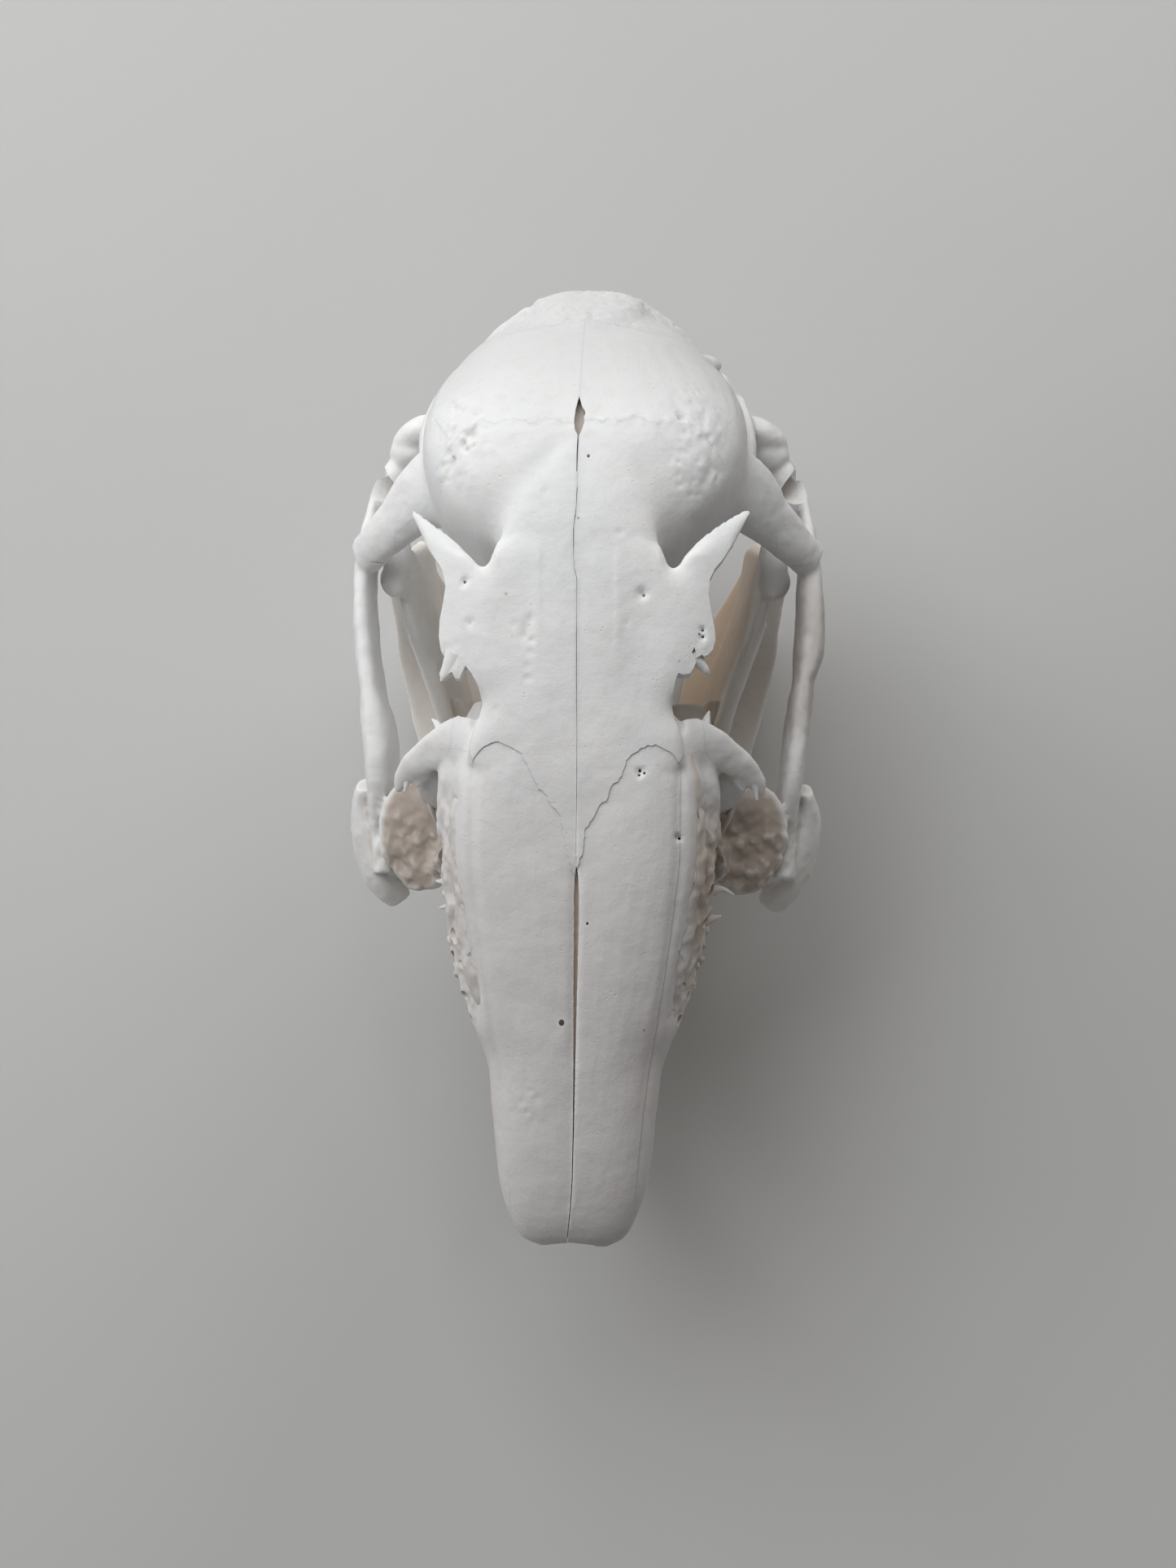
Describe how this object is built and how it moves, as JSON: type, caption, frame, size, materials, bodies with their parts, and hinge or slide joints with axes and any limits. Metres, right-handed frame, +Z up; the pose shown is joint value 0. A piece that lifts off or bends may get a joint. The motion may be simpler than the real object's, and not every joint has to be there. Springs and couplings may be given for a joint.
{
  "type": "rabbit skull",
  "caption": "Life-size rabbit skull with its lower jaw and gnawing teeth, a still model that rests on the jaw's underside.",
  "frame": {"origin": "under the middle of the skull, on the surface that the lower jaw rests on", "axes": "-Y towards the tip of the nose, +X towards the animal's side that is at the right of the picture, +Z up"},
  "size_m": [0.0426, 0.0838, 0.0559],
  "materials": {
    "roof_bone": "matt bleached bone, cool white",
    "deep_bone": "matt bone, warmer where it is thin or in shade",
    "tooth": "smooth ivory enamel"
  },
  "bodies": {
    "root": {"bulla_left": "deep_bone", "bulla_right": "deep_bone", "frontal_left": "roof_bone", "frontal_right": "roof_bone", "incisive_left": "roof_bone", "incisive_right": "roof_bone", "lacrimal_left": "roof_bone", "lacrimal_right": "roof_bone", "lower_incisor_left": "tooth", "lower_incisor_right": "tooth", "mandible_left": "deep_bone", "mandible_right": "deep_bone", "maxilla_left": "deep_bone", "maxilla_right": "deep_bone", "nasal_left": "roof_bone", "nasal_right": "roof_bone", "occipital": "roof_bone", "parietal_left": "roof_bone", "parietal_right": "roof_bone", "sphenoid": "deep_bone", "temporal_left": "roof_bone", "temporal_right": "roof_bone", "upper_incisor_left": "tooth", "upper_incisor_right": "tooth", "zygomatic_left": "roof_bone", "zygomatic_right": "roof_bone"}
  },
  "joints": []
}
